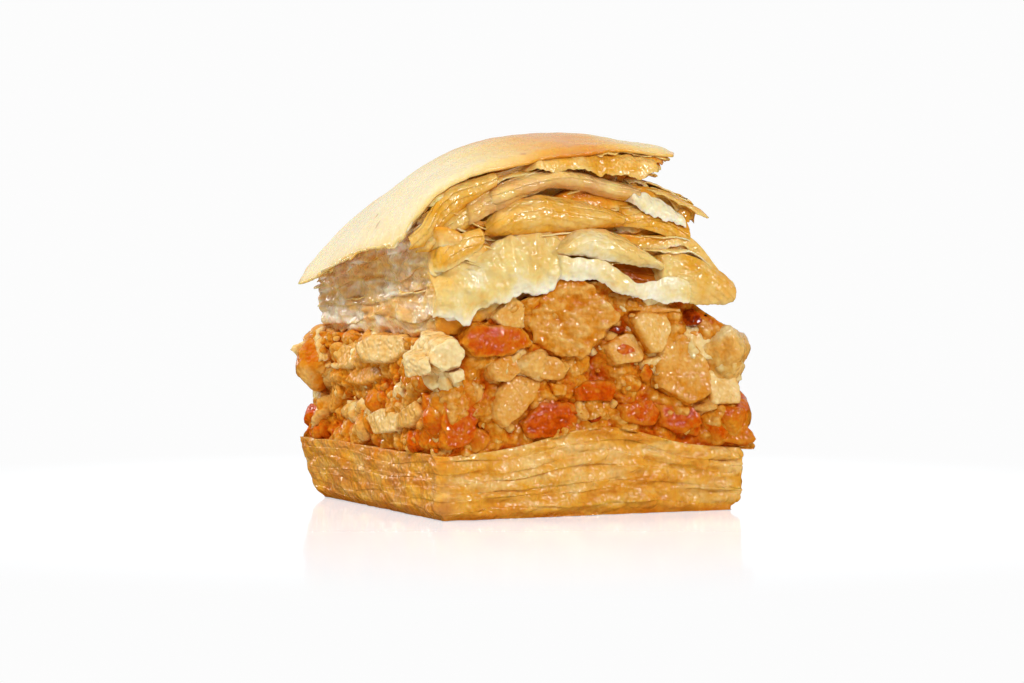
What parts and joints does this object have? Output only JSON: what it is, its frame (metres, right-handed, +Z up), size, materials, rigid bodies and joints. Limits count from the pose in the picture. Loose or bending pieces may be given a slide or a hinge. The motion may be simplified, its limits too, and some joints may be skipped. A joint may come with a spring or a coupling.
{
  "type": "baklava piece",
  "caption": "Square-cut baklava piece: soaked filo base, chopped-nut filling and a domed, glossy, flaky filo top.",
  "frame": {"origin": "centre of the piece's bounding box, on the surface that it stands on", "axes": "+Z up, +X along the front cut, +Y away from the front cut"},
  "size_m": [0.0484, 0.0446, 0.0481],
  "materials": {
    "base_pastry": "wet, glossy, syrup-soaked filo",
    "nut_filling": "sticky caramelised nuts",
    "top_pastry": "glossy baked filo, translucent at its edges"
  },
  "bodies": {
    "root": {"base_pastry": "base_pastry", "nut_filling": "nut_filling", "top_pastry": "top_pastry"}
  },
  "joints": []
}
